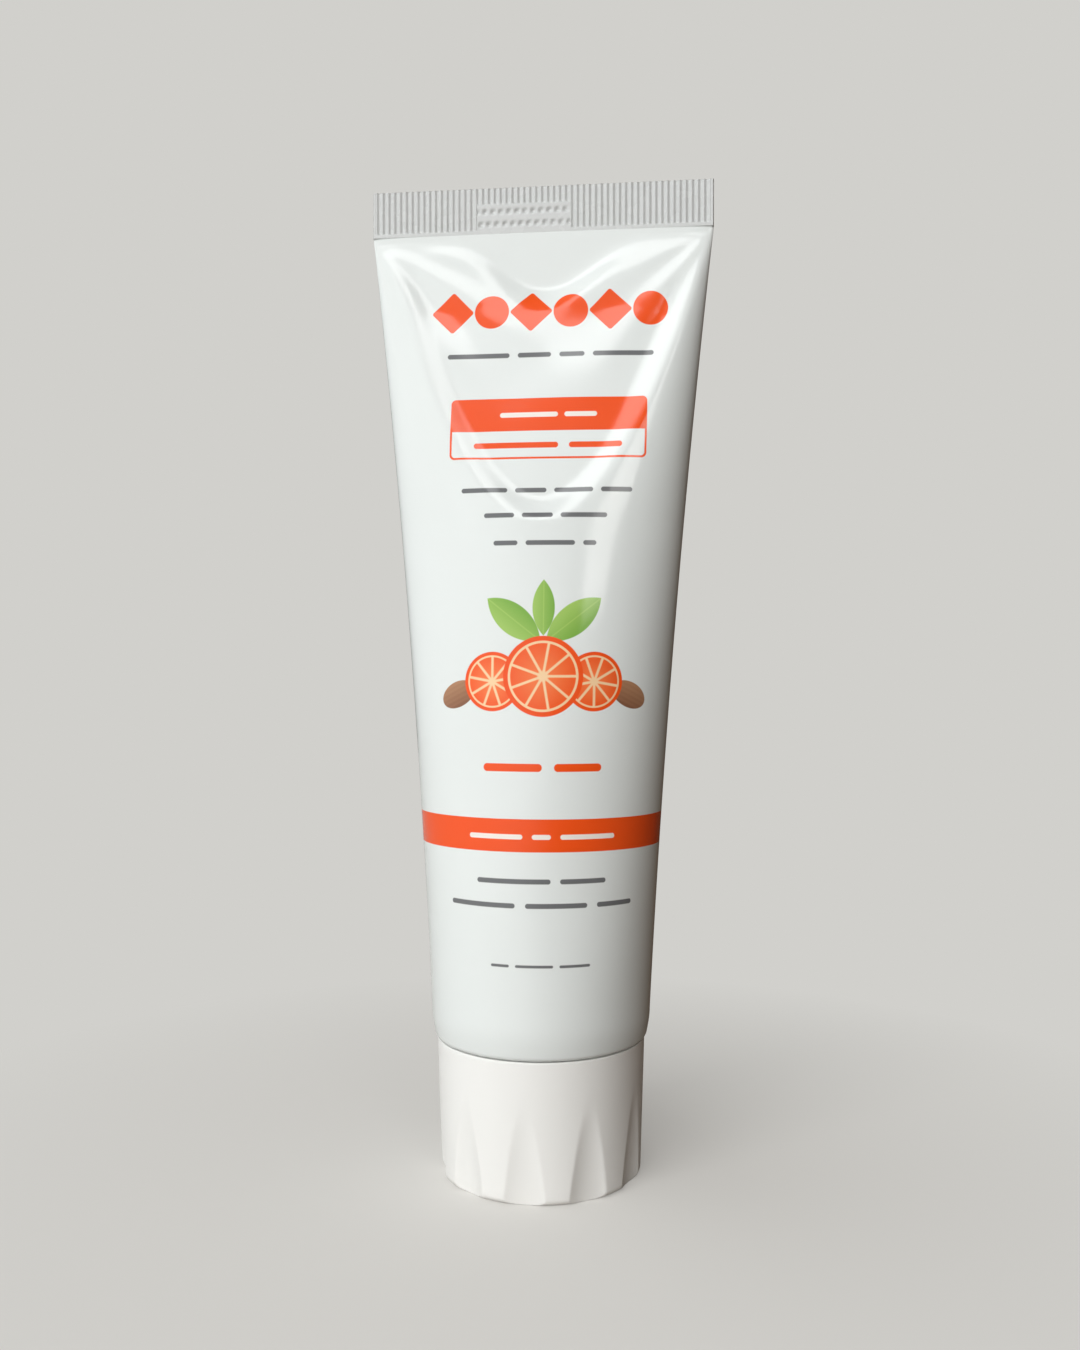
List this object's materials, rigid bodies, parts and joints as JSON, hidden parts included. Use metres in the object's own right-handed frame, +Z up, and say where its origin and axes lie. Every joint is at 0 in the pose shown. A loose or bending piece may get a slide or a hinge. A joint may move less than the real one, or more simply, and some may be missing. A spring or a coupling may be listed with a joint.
{
  "type": "toothpaste tube",
  "caption": "Filled laminate squeeze tube standing on its fluted screw cap, with a moulded shoulder and neck inside and a ribbed flat seal at the other end",
  "frame": {"origin": "centre of the cap's closed face, on which the tube stands", "axes": "+Z up along the tube to the sealed end, X along the seal, the printed front faces -Y"},
  "size_m": [0.055, 0.035, 0.1578],
  "materials": {
    "cap": "satin",
    "head": "satin",
    "sleeve": "gloss",
    "paste": "satin"
  },
  "bodies": {
    "cap": {"cap": "cap"},
    "tube": {"sleeve": "sleeve", "head": "head", "paste": "paste"}
  },
  "joints": [
    {"name": "tube_lift", "type": "slide", "parent": "cap", "child": "tube", "axis": [0, 0, 1], "range_m": [0, 0.03]}
  ]
}
